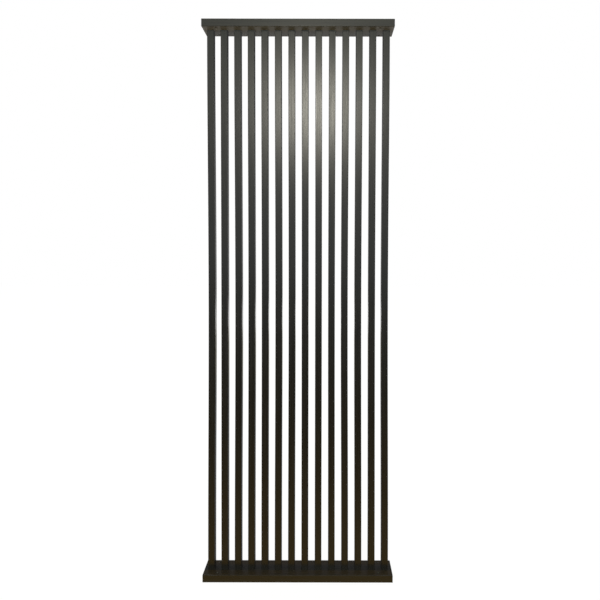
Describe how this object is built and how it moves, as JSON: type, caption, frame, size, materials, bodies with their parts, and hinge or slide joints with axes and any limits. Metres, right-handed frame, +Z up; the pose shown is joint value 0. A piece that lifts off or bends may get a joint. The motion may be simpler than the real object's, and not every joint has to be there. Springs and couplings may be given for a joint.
{
  "type": "slatted fireplace screen",
  "caption": "Tall upright screen of slim dark slats held between a flat sole plate and a flat head plate, screwed to floor and ceiling.",
  "frame": {"origin": "on the floor, at the middle of the sole plate's underside", "axes": "+Z up, +X to the right seen from the front, +Y from the front to the back"},
  "size_m": [0.85, 0.13, 2.5],
  "materials": {
    "black_lacquer": "satin black lacquer on planed timber",
    "zinc_steel": "yellow zinc plate",
    "beech": "bare beech"
  },
  "bodies": {
    "root": {"sole_plate": "black_lacquer", "head_plate": "black_lacquer", "slat_01": "black_lacquer", "slat_02": "black_lacquer", "slat_03": "black_lacquer", "slat_04": "black_lacquer", "slat_05": "black_lacquer", "slat_06": "black_lacquer", "slat_07": "black_lacquer", "slat_08": "black_lacquer", "slat_09": "black_lacquer", "slat_10": "black_lacquer", "slat_11": "black_lacquer", "slat_12": "black_lacquer", "slat_13": "black_lacquer", "slat_14": "black_lacquer", "sole_screws": "zinc_steel", "head_screws": "zinc_steel", "sole_dowels": "beech", "head_dowels": "beech"}
  },
  "joints": []
}
